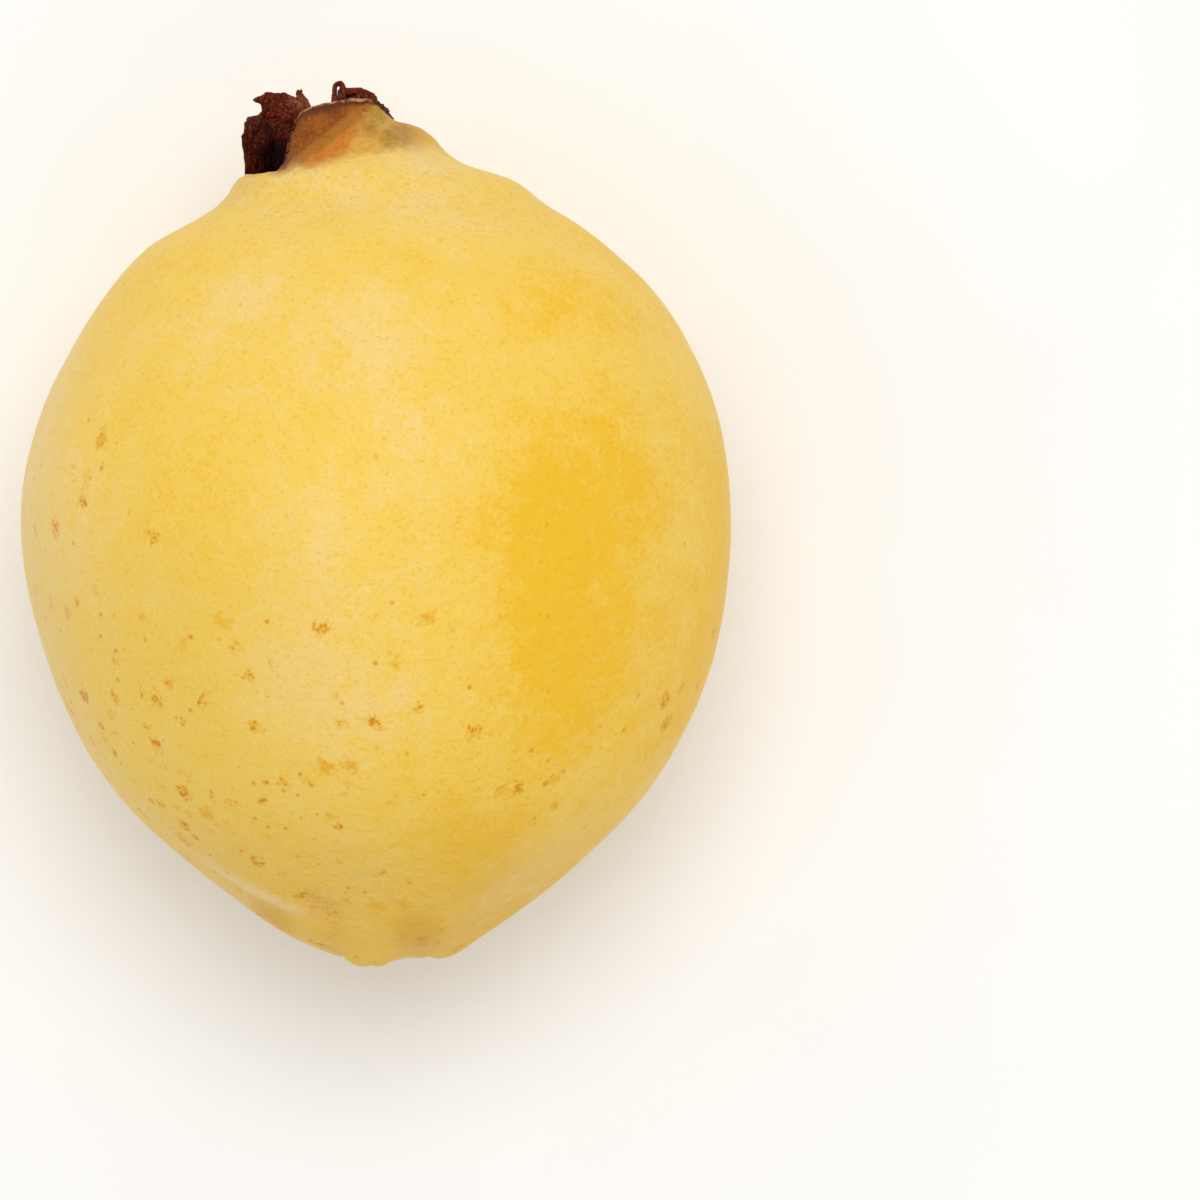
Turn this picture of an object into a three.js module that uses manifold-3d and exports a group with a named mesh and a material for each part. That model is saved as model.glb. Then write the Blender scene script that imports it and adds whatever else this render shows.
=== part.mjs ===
// A guava: one whole ripe fruit, lying on its side, with its dried calyx still on the flower end.
//
// Millimetres. The fruit's long axis runs along Y, with the flower end at +Y and the stem end at
// -Y. Z is up, and the fruit rests on z = 0. Until the last step every place is counted from the
// centre of the widest ring: "along" is a distance from it along Y. Angles round the long axis are
// in degrees: 0 is +X, 90 is the top, 180 is -X and 270 is the underside.

import * as THREE from "three";
import { mergeVertices } from "three/addons/utils/BufferGeometryUtils.js";
import Module from "manifold-3d";

const { clamp, degToRad, euclideanModulo, lerp, mapLinear, smoothstep } = THREE.MathUtils;

// ---- The fruit's main sizes ----
const BELLY_RADIUS = 29.6; // half the widest width
const BELLY_TO_FLOWER = 31.1; // semi-axis of the belly's ellipse towards the flower end
const BELLY_TO_STEM = 33.3; // and towards the stem end
const BELLY_SPAN = [-28.3, 22.9]; // where along the fruit the ellipse holds
const BELLY_STEPS = 15; // rows of the outline on it
const BELLY_BOW = -0.12; // both its ends stand this share of the calyx shift off its middle
const BOWED_FROM = 17; // the bow is complete this far along
const HEIGHT_SHARE = 0.97; // the fruit is this much flatter from top to bottom than it is wide
const REST_CUT = 0.4; // height of the skin pressed flat where the fruit rests

// ---- The calyx end ----
const CALYX_SHIFT = -4.7; // the calyx sits this far to -X of the long axis
const CALYX_TILT = 1.6; // rise and fall of the collar's base plane
const TILT_TOWARDS = 30; // angle of the plane's highest side
const RIM_ALONG = 32.4; // mean place of the collar's rim
const MARGIN_RISE = 0.45; // the dry margin shows this far above the fleshy rim
const SEPAL_THICKNESS = 0.7;

// Height of the collar's wall over its mean, as [angle, height]. Two fleshy lobes are left of it,
// from 0 to 110 and from 275 to 335 degrees. It is torn down to the neck between them.
const COLLAR_WALL = [
  [0, 0.1], [20, 0.9], [43, 1.75], [62, 1.8], [82, 1.65], [101, 1.5], [107, 0.8], [117, -2.3],
  [124, -2.6], [150, -2.2], [170, -1.6], [190, -1.2], [225, -0.9], [255, -0.8], [268, -0.5],
  [282, 0.9], [305, 1.3], [328, 0.8], [342, -0.5],
];

// ---- Meshing ----
const FRUIT_COLUMNS = 76;
const FRUIT_ROWS = 48;
const CROWDED_ANGLE = 140; // the columns of the rings crowd towards this angle
const COLUMN_CROWDING = 14; // by this many degrees
const LINING_COLUMNS = 56;
const LINING_ROWS = 13;
const SEPAL_CELL = 0.62; // side of a sepal's mesh cell

// The fruit's skin from the stem pit to the calyx cup's floor, as rows of
// [radius, along, share of the calyx shift, share of the tilt, share of the wall height].
const STEM_ROWS = [
  [0, -34.1, -0.3, 0, 0],
  [1.3, -34.1, -0.3, 0, 0],
  [2.1, -34.4, -0.3, 0, 0],
  [2.8, -34.95, -0.3, 0, 0],
  [4.0, -35.2, -0.28, 0, 0],
  [5.6, -34.95, -0.23, 0, 0],
  [7.6, -34.1, -0.17, 0, 0],
  [9.8, -32.65, -0.13, 0, 0],
  [11.9, -31.1, -0.12, 0, 0],
  [13.7, -29.75, -0.12, 0, 0],
];
const NECK_ROWS = [
  [18.3, 24.1, -0.12, 0, 0],
  [16.3, 25.3, -0.13, 0, 0],
  [14.4, 26.35, -0.13, 0, 0],
  [12.9, 27.45, -0.1, 0.04, 0],
  [12.1, 28.55, 0.0, 0.14, 0],
  [11.0, 29.35, 0.2, 0.22, 0.07],
  [9.0, 29.9, 0.46, 0.42, 0.18],
  [7.6, 30.7, 0.75, 0.68, 0.36],
  [6.7, 31.5, 0.93, 0.9, 0.66],
  [6.25, 32.1, 1, 1, 0.93],
  [5.85, RIM_ALONG, 1, 1, 1],
  [5.5, 32.1, 1, 1, 1],
  [5.2, 30.2, 1, 0.8, 0.4],
  [5.0, 28.2, 1, 0.3, 0],
  [4.5, 26.3, 1, 0, 0],
  [3.2, 25.7, 1, 0, 0],
  [0, 25.5, 1, 0, 0],
];
const PIT_ENDS = 0.068; // share of the way along the rows where the stem pit ends
const CUP_STARTS = 0.869; // and where the cup's inside begins

// The dry lining of the cup, outside first, in the same five columns.
const LINING_ROWS_ALONG_IT = [
  [0, 25.9, 1, 0, 0],
  [3.1, 26.1, 1, 0, 0],
  [4.2, 26.8, 1, 0, 0],
  [4.65, 28.3, 1, 0.3, 0],
  [4.85, 30.2, 1, 0.8, 0.4],
  [5.15, RIM_ALONG + MARGIN_RISE, 1, 1, 1],
  [4.55, RIM_ALONG + MARGIN_RISE, 1, 1, 1],
  [4.2, 30.2, 1, 0.8, 0.4],
  [3.95, 28.5, 1, 0.3, 0],
  [3.4, 27.3, 1, 0, 0],
  [1.9, 26.8, 1, 0, 0],
  [0, 27.1, 1, 0, 0],
];

// Swellings (and hollows, with a height below 0) of the skin, as [x, along, z, height, spread].
const SWELLINGS = [
  [3.2, 32.1, 1.0, 1.6, 1.15], // knob beside the calyx
  [4.8, 31.0, 0.6, 0.7, 0.9],
  [7.6, 30.1, 0.6, -0.5, 1.3],
  [0.2, 32.0, 5.2, 0.55, 1.6], // buttress of the fleshy flap
  [1.8, 29.8, -6.5, 0.9, 1.9], // folds of the neck
  [-8.4, 28.9, -6.2, 0.6, 1.8],
  [-5.4, 29.2, 8.2, 0.45, 1.7],
  [2.6, 29.6, 8.4, 0.4, 1.6],
  [-18.3, 23.6, 0, 0.45, 1.8], // shoulder, and the hollow above it
  [-15.0, 25.9, 0, -0.45, 1.6],
  [17.0, 20.0, 17.0, 0.5, 6.0], // slow unevenness of the belly
  [-12.0, 6.0, 26.0, 0.45, 8.0],
  [10.0, -4.0, 26.0, -0.35, 7.0],
  [-23.0, 14.0, 4.0, -0.4, 6.0],
  [8.0, -20.0, 20.0, 0.4, 6.0],
  [-8.0, 4.0, -26.0, -0.3, 9.0],
  [22.0, -8.0, -14.0, 0.4, 7.0],
  [-1.8, -35.1, 2.0, 1.1, 1.2], // nubs round the stem pit
  [0.7, -35.15, 2.4, 1.4, 1.5],
  [5.2, -35.1, 1.0, 0.6, 1.6],
  [3.2, -35.0, -3.6, 0.9, 1.5],
  [-1.7, -35.0, -2.6, 0.7, 1.5],
  [-4.2, -34.9, 2.6, -1.2, 1.1], // creases between them
  [2.7, -35.1, 3.4, -0.6, 0.9],
  [-7.2, -33.6, 4.4, 0.55, 1.6],
];

// Soft ribs that run out from each end: [count, first angle, height, along of the middle, reach].
const RIBS = [
  [5, 12, 0.3, 24, 6],
  [5, 62, 0.4, -31.5, 4.5],
];
const RIB_START = [2.5, 8]; // the ribs rise between these distances from the long axis

// ---- The sepals ----
// The dry blades above the fleshy lobes, each through rows of [along, first angle, last angle,
// radius at the first, radius at the last]. The first rows are its root inside the lining.
const SEPALS = {
  far_left: [
    [28.2, 191, 260, 4.3, 4.3],
    [29.3, 189, 261, 4.4, 4.4],
    [29.95, 187, 262, 4.9, 4.5],
    [30.25, 185, 262, 5.9, 4.6],
    [31.2, 185, 262, 6.0, 4.7],
    [32.8, 187, 262, 5.95, 4.8],
    [34.0, 188, 262, 5.95, 4.8],
    [34.5, 202, 261, 5.6, 4.8],
    [35.1, 207, 259, 5.4, 4.9],
    [35.7, 205, 255, 5.45, 5.0],
    [36.1, 202, 250, 5.7, 5.1],
    [36.5, 214, 238, 5.4, 5.2],
  ],
  prong: [
    [30.0, 244, 266, 4.4, 4.4],
    [33.5, 246, 263, 4.7, 4.7],
    [35.2, 248, 260, 4.9, 4.9],
    [36.6, 250, 254, 5.1, 5.1],
  ],
  back_right: [
    [28.2, 278, 334, 4.25, 4.25],
    [31.2, 276, 336, 4.6, 4.6],
    [33.6, 278, 337, 4.8, 4.8],
    [35.4, 284, 333, 4.9, 4.9],
    [36.4, 290, 329, 4.7, 4.6],
    [36.8, 298, 321, 4.5, 4.5],
  ],
  hook: [
    [32.0, 276, 296, 4.6, 4.6],
    [34.5, 280, 295, 4.9, 4.8],
    [36.4, 284, 295, 5.0, 4.8],
    [37.4, 287, 294, 4.8, 4.6],
  ],
  right_margin: [
    [29.5, 354, 400, 4.3, 4.3],
    [32.0, 352, 402, 4.6, 4.6],
    [34.2, 354, 404, 4.8, 4.6],
    [35.3, 368, 408, 4.85, 4.6],
    [36.2, 382, 407, 5.3, 4.9],
  ],
};
const TOP_RAG = 0.28; // how far a sepal's torn top edge wanders
const CRINKLE = 0.22; // how far its face wanders in and out

// ---- Curves and surfaces ----

// Catmull-Rom between four numbers.
function catmullRom(t, a, b, c, d) {
  const slopeB = (c - a) / 2;
  const slopeC = (d - b) / 2;
  return b + t * (slopeB + t * (3 * (c - b) - 2 * slopeB - slopeC + t * (2 * (b - c) + slopeB + slopeC)));
}

// The row at share t of the way through a list of rows, on a smooth curve through them.
function rowAt(rows, t) {
  const place = clamp(t, 0, 1) * (rows.length - 1);
  const i = Math.min(Math.floor(place), rows.length - 2);
  const [a, b, c, d] = [i - 1, i, i + 1, i + 2].map((k) => rows[clamp(k, 0, rows.length - 1)]);
  return b.map((_, k) => catmullRom(place - i, a[k], b[k], c[k], d[k]));
}

// The value at an angle from a ring of [angle, value] pairs, on straight lines between them.
function aroundRing(pairs, angle) {
  const turned = euclideanModulo(angle, 360);
  const ring = [...pairs, [360, pairs[0][1]]];
  const next = ring.findIndex(([at]) => at > turned);
  const [[fromAngle, from], [toAngle, to]] = [ring[next - 1], ring[next]];
  return mapLinear(turned, fromAngle, toAngle, from, to);
}

// The belly's radius, on its two half ellipses.
function bellyRadius(along) {
  const reach = along > 0 ? BELLY_TO_FLOWER : BELLY_TO_STEM;
  return BELLY_RADIUS * Math.sqrt(1 - (along / reach) ** 2);
}

// All the fruit's rows: the stem end, the belly by its formula, and the neck, collar and cup.
function fruitRows() {
  const [from, to] = BELLY_SPAN;
  const belly = Array.from({ length: BELLY_STEPS + 1 }, (_, i) => {
    const along = lerp(from, to, i / BELLY_STEPS);
    return [bellyRadius(along), along, BELLY_BOW * smoothstep(Math.abs(along), 0, BOWED_FROM), 0, 0];
  });
  return [...STEM_ROWS, ...belly, ...NECK_ROWS];
}

// The point of a row at an angle, before any swelling.
function ringPoint([radius, along, shift, tilt, wall], angle) {
  const turn = degToRad(angle);
  const height = lerp(HEIGHT_SHARE, 1, shift);
  const tilted = CALYX_TILT * Math.cos(degToRad(angle - TILT_TOWARDS));
  return new THREE.Vector3(
    shift * CALYX_SHIFT + radius * Math.cos(turn),
    along + tilt * tilted + wall * aroundRing(COLLAR_WALL, angle),
    radius * Math.sin(turn) * height,
  );
}

// How far the skin stands out from its plain rings at a point.
function skinRelief(point, angle) {
  const bumps = SWELLINGS.reduce((sum, [x, along, z, height, spread]) => {
    const away = point.distanceTo(new THREE.Vector3(x, along, z));
    return sum + height * Math.exp(-0.5 * (away / spread) ** 2);
  }, 0);
  const ribs = RIBS.reduce((sum, [count, first, height, middle, reach]) => {
    const fade = Math.exp(-(((point.y - middle) / reach) ** 2));
    return sum + height * fade * Math.cos(degToRad(count * (angle - first)));
  }, 0);
  const turn = degToRad(angle);
  const ribRise = smoothstep(Math.hypot(point.x, point.z), ...RIB_START);
  const uneven = 0.28 * Math.sin(2 * turn + 0.07 * point.y) + 0.2 * Math.sin(3 * turn - 0.09 * point.y + 1);
  return bumps + ribs * ribRise + uneven * smoothstep(BELLY_RADIUS - Math.abs(point.y), 0, BELLY_RADIUS);
}

// A point of the skin, at share t from the stem pit to the cup's floor.
function skinPoint(rows, t, angle) {
  const step = 0.002;
  const plain = ringPoint(rowAt(rows, t), angle);
  const before = rowAt(rows, t - step);
  const after = rowAt(rows, t + step);
  const outward = new THREE.Vector2(after[1] - before[1], before[0] - after[0]).normalize();
  const outsidePit = smoothstep(t, PIT_ENDS - 0.03, PIT_ENDS + 0.03);
  const insideCup = smoothstep(t, CUP_STARTS - 0.02, CUP_STARTS);
  const relief = skinRelief(plain, angle) * outsidePit * (1 - insideCup);
  const turn = degToRad(angle);
  return plain.add(
    new THREE.Vector3(outward.x * Math.cos(turn), outward.y, outward.x * Math.sin(turn)).multiplyScalar(relief),
  );
}

// The angle of a ringed surface's column, at a share of the way round.
function columnAngle(share) {
  const plain = 360 * share;
  return plain - COLUMN_CROWDING * Math.sin(degToRad(plain - CROWDED_ANGLE));
}

// A closed surface of rings: pointAt(t, angle) gives its points, and both its ends (t = 0 and
// t = 1) close on a single point.
function ringedGeometry(columns, rows, pointAt) {
  const positions = [];
  const index = [];
  for (let row = 1; row < rows; row++) {
    for (let column = 0; column < columns; column++) {
      positions.push(...pointAt(row / rows, columnAngle(column / columns)).toArray());
    }
  }
  const first = positions.length / 3;
  positions.push(...pointAt(0, 0).toArray(), ...pointAt(1, 0).toArray());
  const at = (row, column) => (row - 1) * columns + (column % columns);
  for (let column = 0; column < columns; column++) {
    index.push(first, at(1, column), at(1, column + 1));
    index.push(first + 1, at(rows - 1, column + 1), at(rows - 1, column));
    for (let row = 1; row < rows - 1; row++) {
      index.push(at(row, column), at(row + 1, column), at(row + 1, column + 1));
      index.push(at(row, column), at(row + 1, column + 1), at(row, column + 1));
    }
  }
  return new THREE.BufferGeometry()
    .setAttribute("position", new THREE.Float32BufferAttribute(positions, 3))
    .setIndex(index);
}

// ---- The two pieces ----

// The skin and flesh: one solid, with the calyx cup hollowed in its flower end.
function fruitGeometry() {
  const rows = fruitRows();
  return ringedGeometry(FRUIT_COLUMNS, FRUIT_ROWS, (t, angle) => skinPoint(rows, t, angle));
}

// A sepal's face at share across (0 to 1) and share up, with its thickness to one side or the other.
function sepalPoint(rows, across, up, side) {
  const [along, first, last, firstRadius, lastRadius] = rowAt(rows, up);
  const angle = lerp(first, last, across);
  const turn = degToRad(angle);
  const torn = TOP_RAG * up ** 3 * Math.sin(8 * across + first) * Math.sin(4 * across + 2);
  const crinkle = CRINKLE * smoothstep(up, 0.25, 0.6) * Math.sin(0.19 * angle + 1.7 * along);
  const radius = lerp(firstRadius, lastRadius, across) + crinkle + (side * SEPAL_THICKNESS) / 2;
  return new THREE.Vector3(CALYX_SHIFT + radius * Math.cos(turn), along + torn, radius * Math.sin(turn));
}

// A sepal as a closed blade: a grid on each face, and a strip round their edge.
function sepalGeometry(rows) {
  const middle = rows[Math.floor(rows.length / 2)];
  const columns = Math.max(3, Math.round((degToRad(middle[2] - middle[1]) * middle[4]) / SEPAL_CELL));
  const rises = Math.round((rows.at(-1)[0] - rows[0][0]) / SEPAL_CELL);
  const positions = [];
  const index = [];
  for (const side of [1, -1]) {
    for (let row = 0; row <= rises; row++) {
      for (let column = 0; column <= columns; column++) {
        positions.push(...sepalPoint(rows, column / columns, row / rises, side).toArray());
      }
    }
  }
  const back = (columns + 1) * (rises + 1);
  const at = (column, row) => row * (columns + 1) + column;
  const quad = (a, b, c, d) => index.push(a, b, c, a, c, d);
  for (let row = 0; row < rises; row++) {
    for (let column = 0; column < columns; column++) {
      const [a, b] = [at(column, row), at(column + 1, row)];
      const [c, d] = [at(column + 1, row + 1), at(column, row + 1)];
      index.push(a, c, b, a, d, c);
      index.push(back + a, back + b, back + c, back + a, back + c, back + d);
    }
    const [low, high] = [at(0, row), at(0, row + 1)];
    quad(low, back + low, back + high, high);
    const [lowEnd, highEnd] = [at(columns, row), at(columns, row + 1)];
    quad(lowEnd, highEnd, back + highEnd, back + lowEnd);
  }
  for (let column = 0; column < columns; column++) {
    const [a, b] = [at(column, 0), at(column + 1, 0)];
    quad(a, b, back + b, back + a);
    const [c, d] = [at(column, rises), at(column + 1, rises)];
    quad(c, back + c, back + d, d);
  }
  return new THREE.BufferGeometry()
    .setAttribute("position", new THREE.Float32BufferAttribute(positions, 3))
    .setIndex(index);
}

// A closed geometry as a manifold-3d solid.
function solidOf(wasm, geometry) {
  const merged = mergeVertices(geometry, 1e-4);
  return new wasm.Manifold(
    new wasm.Mesh({
      numProp: 3,
      vertProperties: merged.attributes.position.array,
      triVerts: new Uint32Array(merged.index.array),
    }),
  );
}

// The dry calyx: the cup's lining with the sepals' roots sunk in it, joined in one solid.
async function calyxGeometry() {
  const wasm = await Module();
  wasm.setup();
  const lining = ringedGeometry(LINING_COLUMNS, LINING_ROWS, (t, angle) =>
    ringPoint(rowAt(LINING_ROWS_ALONG_IT, t), angle),
  );
  const joined = Object.values(SEPALS)
    .map((rows) => solidOf(wasm, sepalGeometry(rows)))
    .reduce((sum, sepal) => sum.add(sepal), solidOf(wasm, lining));
  const mesh = joined.getMesh();
  return new THREE.BufferGeometry()
    .setAttribute("position", new THREE.BufferAttribute(mesh.vertProperties, 3))
    .setIndex(new THREE.BufferAttribute(mesh.triVerts, 1));
}

// Presses the lowest skin flat, to a level patch on which the fruit rests.
function pressFlat(geometry) {
  geometry.computeBoundingBox();
  const level = geometry.boundingBox.min.z + REST_CUT;
  const points = geometry.attributes.position;
  for (let i = 0; i < points.count; i++) points.setZ(i, Math.max(points.getZ(i), level));
}

function namedMesh(name, geometry, color, roughness) {
  const mesh = new THREE.Mesh(geometry, new THREE.MeshStandardMaterial({ color, roughness, metalness: 0 }));
  mesh.name = name;
  return mesh;
}

const fruitSkin = fruitGeometry();
pressFlat(fruitSkin);

const guava = new THREE.Group();
guava.add(namedMesh("fruit", fruitSkin, 0xf4cf68, 0.42));
guava.add(namedMesh("calyx", await calyxGeometry(), 0x4a1d10, 0.8));

// Sets the frame's origin under the middle of the fruit, on the surface that it rests on.
const box = new THREE.Box3().setFromObject(guava, true);
guava.children.forEach((mesh) => {
  mesh.position.set(-(box.min.x + box.max.x) / 2, -(box.min.y + box.max.y) / 2, -box.min.z);
});

export default guava;
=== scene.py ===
"""A whole ripe guava lying on its side, with its dried calyx at +Y, seen from straight above.

Metres in Blender. The tables and the code that shapes the pieces are in millimetres, in the
fruit's own frame, and are scaled by MM when a mesh is made. Angles round an axis along Y are in
degrees: 0 is +X, 90 is the top.
"""
import math

import bmesh
import bpy
import numpy as np
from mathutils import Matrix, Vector, noise


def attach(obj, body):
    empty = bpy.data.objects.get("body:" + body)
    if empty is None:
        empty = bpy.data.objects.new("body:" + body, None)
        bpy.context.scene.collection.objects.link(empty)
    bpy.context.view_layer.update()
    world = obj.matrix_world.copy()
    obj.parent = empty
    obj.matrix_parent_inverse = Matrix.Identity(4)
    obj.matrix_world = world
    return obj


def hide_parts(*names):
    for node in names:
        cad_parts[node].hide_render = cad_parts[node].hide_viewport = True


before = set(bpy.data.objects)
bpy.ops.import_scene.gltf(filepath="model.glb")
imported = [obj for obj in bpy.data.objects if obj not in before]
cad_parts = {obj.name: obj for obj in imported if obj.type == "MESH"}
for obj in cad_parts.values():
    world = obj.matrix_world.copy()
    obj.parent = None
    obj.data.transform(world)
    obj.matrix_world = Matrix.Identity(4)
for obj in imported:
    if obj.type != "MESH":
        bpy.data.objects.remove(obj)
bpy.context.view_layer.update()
MM = 0.001

# ---- Places on the fruit ----
CALYX_X, CALYX_Z = -4.884, 28.235  # the calyx's axis
ALONG_TO_Y = -0.505  # "along" is counted from the widest ring, which lies at this Y
PIT = (1.226, -34.6, 28.235)  # the stem pit's floor
SCAR_RADIUS = 2.1  # of the stalk's scar in it
NECK_Y = 22.9  # where the fruit is drawn in
SHOULDER = (-11.8, 28.2, 28)  # a dip beside the neck

# The collar's wall over its mean height, by angle, and the plane that it stands on.
COLLAR_WALL = [
    (0, 0.1), (20, 0.9), (43, 1.75), (62, 1.8), (82, 1.65), (101, 1.5), (107, 0.8), (117, -2.3),
    (124, -2.6), (150, -2.2), (170, -1.6), (190, -1.2), (225, -0.9), (255, -0.8), (268, -0.5),
    (282, 0.9), (305, 1.3), (328, 0.8), (342, -0.5), (360, 0.1),
]
RIM_ALONG, CALYX_TILT, TILT_TOWARDS = 32.4, 1.6, 30
TORN = (104, 116, 258, 270)  # the wall is torn down between the middle two of these angles

# Lines seen from above, as (x, y): the foot of the top flap, the soft ridge that crosses it, and
# the crease and the pale ridge at the stem end.
FLAP_FOOT = [
    (-8.5, 29.1), (-7.6, 29.0), (-4.7, 29.1), (-2.2, 29.7), (0.3, 30.3), (2.8, 31.0), (4.5, 31.5),
]
FLAP_RIDGE = [(-6.7, 29.4), (-4.6, 31.0), (-2.9, 32.4), (-1.5, 33.6)]
STEM_CREASE = [
    (-3.3, -36.2), (-3.35, -35.1), (-3.35, -34.0), (-3.35, -32.9), (-3.8, -31.8), (-4.6, -31.0),
    (-6.0, -30.5),
]
STEM_RIDGE = [
    (-15.0, -27.0), (-13.2, -28.2), (-11.5, -29.3), (-9.9, -30.3), (-8.2, -31.2), (-6.6, -31.9),
    (-5.0, -32.7),
]

# Soft swellings at the stem end, the last one a hollow: (x, z, half width, height in mm).
STEM_LIPS = [(0.5, 31.5, 1.4, 0.3), (2.9, 31.6, 1.2, 0.5), (2.6, 24.6, 1.6, -0.25)]

# Broad patches on the top, paler (below 0) or more golden: (x, y, half width, half length, amount).
PATCHES = [
    (-5.5, 17, 9, 8, -0.3), (-3.5, 1.5, 1.3, 5.5, -0.2), (1.5, 10.5, 1.6, 5, -0.2),
    # the next patch is partly a golden blush and partly painted shade
    (14, -10, 11, 16, 0.12),
    (-19, 5, 6, 4, 0.12), (-4, -12, 5, 9, -0.1), (2, -25, 9, 6, 0.18), (17, 18, 4, 9, 0.25),
    (4, 20, 6, 4, 0.15), (-21, -4, 3, 5, 0.12), (-9, -33, 4, 2, 0.4), (3.4, -33.5, 3, 1.5, 0.3),
    (1, -1, 7, 7, 0.16),
]

# The lining, outside first: (radius, along, share of the tilt, share of the wall).
LINING_ROWS = [
    (0.02, 25.9, 0, 0), (2.4, 26.05, 0, 0), (3.7, 26.5, 0, 0), (4.3, 27.1, 0, 0),
    (4.8, 27.8, 0.2, 0), (5.1, 28.6, 0.3, 0), (5.3, 30.2, 0.8, 0.4), (5.5, 31.7, 1, 0.95),
    (5.6, 32.3, 1, 1), (5.5, 32.5, 1, 1), (5.3, 32.3, 1, 1), (5.1, 31.4, 0.95, 0.8),
    (4.95, 30.2, 0.8, 0.4), (4.6, 28.7, 0.3, 0), (3.9, 27.5, 0, 0), (2.6, 27.0, 0, 0),
    (1.4, 26.9, 0, 0), (0.9, 27.15, 0, 0), (0.02, 27.3, 0, 0),
]

# The dry blades: rows of (along, first angle, last angle, radius at the first, at the last).
BLADES = {
    "far_left": [
        (28.2, 187, 262, 5.0, 4.8), (29.1, 184, 263, 5.5, 4.9), (29.45, 181, 264, 5.95, 5.0),
        (29.8, 180, 264, 6.0, 5.1), (30.9, 182, 264, 5.95, 5.1), (32.4, 181, 264, 5.95, 5.1),
        (33.5, 180, 264, 6.05, 5.1), (34.05, 186, 263, 6.05, 5.1), (34.4, 195, 262, 5.95, 5.05),
        (34.65, 211, 261, 5.8, 5.0), (35.1, 216, 259, 5.7, 5.0), (35.6, 215, 256, 5.75, 5.05),
        (35.95, 208, 251, 5.85, 5.2), (36.25, 212, 246, 5.7, 5.3), (36.5, 221, 238, 5.5, 5.3),
    ],
    "prong": [
        (30.0, 244, 270, 4.75, 4.75), (33.5, 246, 268, 5.0, 4.9), (35.0, 247, 264, 5.1, 5.0),
        (35.9, 248, 259, 5.15, 5.0), (36.4, 249, 256, 5.15, 5.1), (36.9, 250.4, 252.6, 5.15, 5.1),
    ],
    "back_right": [
        (28.2, 276, 336, 4.8, 4.8), (31.2, 274, 338, 5.0, 5.0), (34.4, 277, 340, 5.15, 5.15),
        (35.9, 284, 340, 5.25, 5.3), (36.5, 288, 331, 5.1, 5.2), (36.85, 291, 320, 4.8, 5.0),
        (36.8, 293, 317, 4.5, 4.8), (36.4, 296, 318, 4.3, 4.6),
    ],
}
BLADE_THICKNESS = 0.42
MARGIN_THICKNESS, CURL_THICKNESS = 0.13, 0.24

# The dry curl that stands up behind the flap: a path of (x, y, z), and its width along it.
CURL_PATH = [
    (-3.4, 33.6, 23.6), (-3.52, 34.9, 23.4), (-3.58, 35.9, 23.3), (-3.5, 36.65, 23.5),
    (-3.1, 36.75, 23.9), (-2.85, 36.35, 24.2), (-2.95, 35.8, 24.2), (-2.6, 35.2, 24.1),
]
CURL_WIDTHS = [1.2, 1.15, 1.0, 0.75, 0.75, 0.9, 1.1, 0.8]
CURL_FLAT_SIDE = (0.5, 0, 0.86)

# The dry stamens in the cup, and the style in their middle.
CUP_FLOOR = 26.9  # along
STAMENS, STAMEN_SEED = 46, 7
STYLE_LEAN, STYLE_THICKNESS = (0.4, 3.6, 0.7), 0.2

# ---- How finely things are modelled ----
SKIN_LEVELS = 2
BLADE_COLUMNS, BLADE_ROWS = 90, 100
LINING_COLUMNS, LINING_LENGTHS = 240, 72
CURL_COLUMNS, CURL_ROWS = 14, 90
MARGIN_COLUMNS, MARGIN_ROWS = 14, 320
BRISTLE_SIDES, BRISTLE_RINGS = 3, 7


# ---- Meshes ----
def smooth(value, low, high):
    """0 at low, 1 at high, eased between. low may be above high."""
    share = np.clip((np.asarray(value, float) - low) / (high - low), 0, 1)
    return share * share * (3 - 2 * share)


def hump(distance, reach):
    """1 at no distance, easing away to about a third at reach."""
    return np.exp(-((distance / reach) ** 2))


def row_at(rows, share):
    """The row at a share (0 to 1) of the way through a table, on a smooth curve through it."""
    rows = np.asarray(rows, float)
    place = np.clip(np.asarray(share, float), 0, 1) * (len(rows) - 1)
    i = np.minimum(place.astype(int), len(rows) - 2)
    t = (place - i)[..., None]
    a, b, c, d = (rows[np.clip(i + k, 0, len(rows) - 1)] for k in (-1, 0, 1, 2))
    leave, arrive = (c - a) / 2, (d - b) / 2
    cubic = 2 * (b - c) + leave + arrive
    return b + t * (leave + t * (3 * (c - b) - 2 * leave - arrive + t * cubic))


def collar_wall(angle):
    """The collar's height over its mean, at an angle."""
    angles, heights = zip(*COLLAR_WALL)
    return np.interp(np.mod(angle, 360), angles, heights)


def tilt(angle):
    """The height of the plane that the calyx stands on, at an angle."""
    return CALYX_TILT * np.cos(np.radians(angle - TILT_TOWARDS))


def torn(angle):
    """1 where the collar's wall is torn down, 0 where it stands."""
    turned = np.mod(angle, 360)
    return smooth(turned, TORN[0], TORN[1]) * smooth(turned, TORN[3], TORN[2])


def rim_y(angle):
    return RIM_ALONG + tilt(angle) + collar_wall(angle) + ALONG_TO_Y


def around_calyx(radius, angle, along):
    """Points from their distance from the calyx's axis, and their angle round it."""
    turn = np.radians(angle)
    x = CALYX_X + radius * np.cos(turn)
    z = CALYX_Z + radius * np.sin(turn)
    return np.stack(np.broadcast_arrays(x, along + ALONG_TO_Y, z), axis=-1)


def calyx_polar(points):
    """Each point's distance from the calyx's axis, and its angle round it."""
    right, up = points[:, 0] - CALYX_X, points[:, 2] - CALYX_Z
    return np.hypot(right, up), np.degrees(np.arctan2(up, right))


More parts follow.
